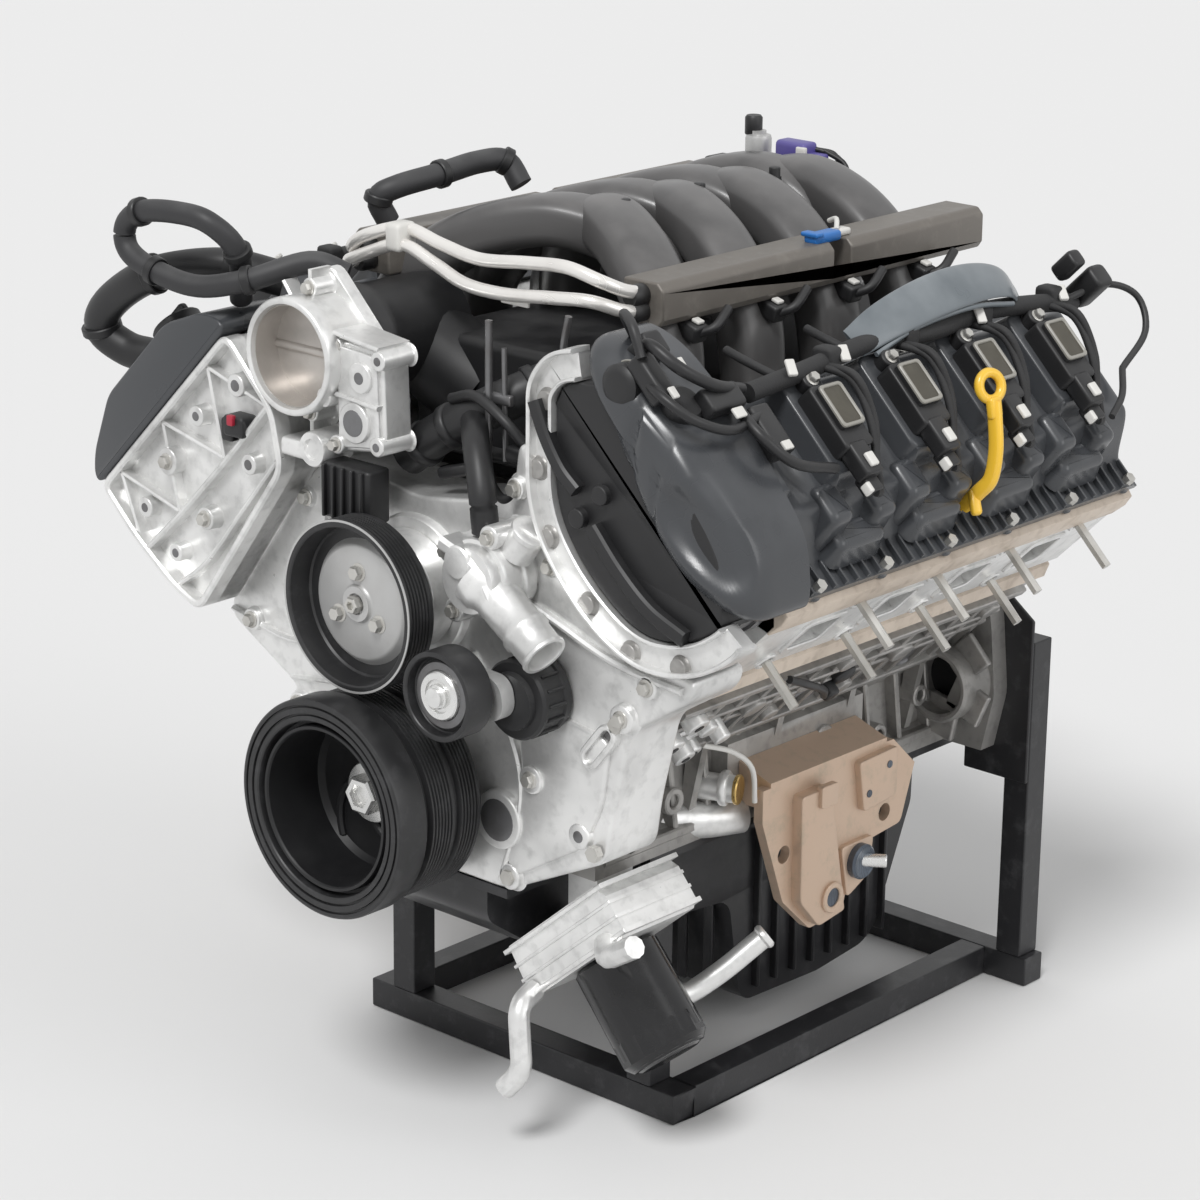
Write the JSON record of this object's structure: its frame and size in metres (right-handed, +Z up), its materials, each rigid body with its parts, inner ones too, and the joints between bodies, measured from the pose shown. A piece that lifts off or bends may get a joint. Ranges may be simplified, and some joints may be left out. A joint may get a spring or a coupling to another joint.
{
  "type": "v8 engine",
  "caption": "Complete V8 engine with overhead cams, timing chains, pistons and crankshaft, arched intake runners, front pulleys, oil cooler and filter, on a square-tube display stand.",
  "frame": {"origin": "on the crankshaft's axis in the plane of the cylinder block's rear face, inside the crankshaft's pilot bore", "axes": "+Z up, +Y along the crankshaft towards the flexplate and gearbox, so the pulleys face -Y; +X towards the engine's left bank, which is on the right when the front is looked at"},
  "size_m": [0.7476, 0.703, 0.7815],
  "materials": {
    "cast_grey": "satin",
    "cast_bright": "satin",
    "cooler_alloy": "satin",
    "piston_alloy": "satin",
    "forged_steel": "satin",
    "cap_iron": "matte",
    "pressed_steel": "satin",
    "chain_steel": "satin",
    "fastener_steel": "satin",
    "pipe_steel": "polished",
    "damper_black": "satin",
    "pulley_black": "satin",
    "rubber_black": "matte",
    "gasket_grey": "matte",
    "guide_plastic": "satin",
    "moulded_black": "satin",
    "loom_black": "matte",
    "rail_paint": "satin",
    "pan_black": "satin",
    "filter_black": "gloss",
    "dipstick_yellow": "satin",
    "bracket_zinc": "satin",
    "stand_paint": "satin"
  },
  "bodies": {
    "engine": {"cylinder_block": "cast_grey", "oil_pump": "cast_grey", "cylinder_head_left": "cast_bright", "cylinder_head_right": "cast_bright", "cam_bridges": "cast_bright", "front_cover": "cast_bright", "water_pump_body": "cast_bright", "thermostat_housing": "cast_bright", "throttle_body": "cast_bright", "oil_cooler": "cooler_alloy", "connecting_rods": "forged_steel", "main_bearing_caps": "cap_iron", "oil_pickup": "pressed_steel", "timing_chains": "chain_steel", "exhaust_studs": "fastener_steel", "cover_bolts": "fastener_steel", "spark_plugs": "fastener_steel", "fuel_pipes": "pipe_steel", "tensioner_housing": "damper_black", "crank_seal": "rubber_black", "hoses": "rubber_black", "head_gaskets": "gasket_grey", "chain_guides": "guide_plastic", "cam_cover_left": "moulded_black", "cam_cover_right": "moulded_black", "intake_manifold": "moulded_black", "ignition_coils": "moulded_black", "fuel_injectors": "moulded_black", "wiring_harness": "loom_black", "fuel_rails": "rail_paint", "oil_pan": "pan_black", "oil_filter": "filter_black", "mount_brackets": "bracket_zinc", "stand_rails": "stand_paint", "stand_posts": "stand_paint"},
    "crank": {"crankshaft": "forged_steel", "crank_sprocket": "chain_steel", "flexplate": "pressed_steel", "damper_hub": "damper_black", "damper_rubber": "rubber_black", "damper_ring": "damper_black", "crank_bolt": "chain_steel"},
    "intake_cam_left": {"intake_cam_left": "forged_steel"},
    "exhaust_cam_left": {"exhaust_cam_left": "forged_steel"},
    "intake_cam_right": {"intake_cam_right": "forged_steel"},
    "exhaust_cam_right": {"exhaust_cam_right": "forged_steel"},
    "pump_pulley": {"water_pump_pulley": "pressed_steel"},
    "tensioner_arm": {"tensioner_arm": "cast_bright"},
    "tensioner_pulley": {"tensioner_pulley": "pulley_black"},
    "throttle": {"throttle_plate": "pipe_steel"},
    "dipstick": {"dipstick": "dipstick_yellow"},
    "oil_cap": {"oil_cap": "moulded_black"},
    "piston_1": {"piston_1": "piston_alloy"},
    "piston_2": {"piston_2": "piston_alloy"},
    "piston_3": {"piston_3": "piston_alloy"},
    "piston_4": {"piston_4": "piston_alloy"},
    "piston_5": {"piston_5": "piston_alloy"},
    "piston_6": {"piston_6": "piston_alloy"},
    "piston_7": {"piston_7": "piston_alloy"},
    "piston_8": {"piston_8": "piston_alloy"}
  },
  "joints": [
    {"name": "crank_spin", "type": "hinge", "parent": "engine", "child": "crank", "pos_m": [0, 0, 0], "axis": [0, 1, 0], "continuous": true, "deforming": ["connecting_rods"]},
    {"name": "intake_cam_left_spin", "type": "hinge", "parent": "engine", "child": "intake_cam_left", "pos_m": [0.2192, -0.3, 0.28426], "axis": [0, 1, 0], "continuous": true},
    {"name": "exhaust_cam_left_spin", "type": "hinge", "parent": "engine", "child": "exhaust_cam_left", "pos_m": [0.28426, -0.3, 0.2192], "axis": [0, 1, 0], "continuous": true},
    {"name": "intake_cam_right_spin", "type": "hinge", "parent": "engine", "child": "intake_cam_right", "pos_m": [-0.2192, -0.3, 0.28426], "axis": [0, 1, 0], "continuous": true},
    {"name": "exhaust_cam_right_spin", "type": "hinge", "parent": "engine", "child": "exhaust_cam_right", "pos_m": [-0.28426, -0.3, 0.2192], "axis": [0, 1, 0], "continuous": true},
    {"name": "piston_1_slide", "type": "slide", "parent": "engine", "child": "piston_1", "axis": [-0.7071, 0, 0.7071], "range_m": [-0.0927, 0]},
    {"name": "piston_2_slide", "type": "slide", "parent": "engine", "child": "piston_2", "axis": [-0.7071, 0, 0.7071], "range_m": [-0.03904, 0.05366]},
    {"name": "piston_3_slide", "type": "slide", "parent": "engine", "child": "piston_3", "axis": [-0.7071, 0, 0.7071], "range_m": [-0.03904, 0.05366]},
    {"name": "piston_4_slide", "type": "slide", "parent": "engine", "child": "piston_4", "axis": [-0.7071, 0, 0.7071], "range_m": [0, 0.0927]},
    {"name": "piston_5_slide", "type": "slide", "parent": "engine", "child": "piston_5", "axis": [0.7071, 0, 0.7071], "range_m": [-0.03904, 0.05366]},
    {"name": "piston_6_slide", "type": "slide", "parent": "engine", "child": "piston_6", "axis": [0.7071, 0, 0.7071], "range_m": [-0.0927, 0]},
    {"name": "piston_7_slide", "type": "slide", "parent": "engine", "child": "piston_7", "axis": [0.7071, 0, 0.7071], "range_m": [0, 0.0927]},
    {"name": "piston_8_slide", "type": "slide", "parent": "engine", "child": "piston_8", "axis": [0.7071, 0, 0.7071], "range_m": [-0.03904, 0.05366]},
    {"name": "water_pump_spin", "type": "hinge", "parent": "engine", "child": "pump_pulley", "pos_m": [0, -0.62, 0.165], "axis": [0, 1, 0], "continuous": true},
    {"name": "tensioner_swing", "type": "hinge", "parent": "engine", "child": "tensioner_arm", "pos_m": [0.14, -0.6, 0.108], "axis": [0, 1, 0], "range_deg": [0, 25], "stiffness_Nm_per_rad": 8, "springref_deg": -14.32},
    {"name": "tensioner_pulley_spin", "type": "hinge", "parent": "tensioner_arm", "child": "tensioner_pulley", "pos_m": [0.108, -0.635, 0.117], "axis": [0, 1, 0], "continuous": true},
    {"name": "throttle_turn", "type": "hinge", "parent": "engine", "child": "throttle", "pos_m": [-0.1, -0.578, 0.347], "axis": [1, 0, 0], "range_deg": [0, 85], "stiffness_Nm_per_rad": 0.3, "springref_deg": -17.19},
    {"name": "dipstick_pull", "type": "slide", "parent": "engine", "child": "dipstick", "axis": [0.7071, 0, 0.7071], "range_m": [0, 0.36]},
    {"name": "oil_cap_turn", "type": "hinge", "parent": "engine", "child": "oil_cap", "pos_m": [-0.2786, -0.56, 0.32668], "axis": [-0.7071, 0, 0.7071], "range_deg": [0, 90]}
  ],
  "couplings": [
    {"joint": "intake_cam_left_spin", "follows": "crank_spin", "ratio": 0.5},
    {"joint": "exhaust_cam_left_spin", "follows": "crank_spin", "ratio": 0.5},
    {"joint": "intake_cam_right_spin", "follows": "crank_spin", "ratio": 0.5},
    {"joint": "exhaust_cam_right_spin", "follows": "crank_spin", "ratio": 0.5},
    {"joint": "piston_6_slide", "follows": "piston_1_slide", "ratio": 1},
    {"joint": "piston_8_slide", "follows": "piston_2_slide", "ratio": 1},
    {"joint": "piston_5_slide", "follows": "piston_3_slide", "ratio": 1},
    {"joint": "piston_7_slide", "follows": "piston_4_slide", "ratio": 1}
  ]
}
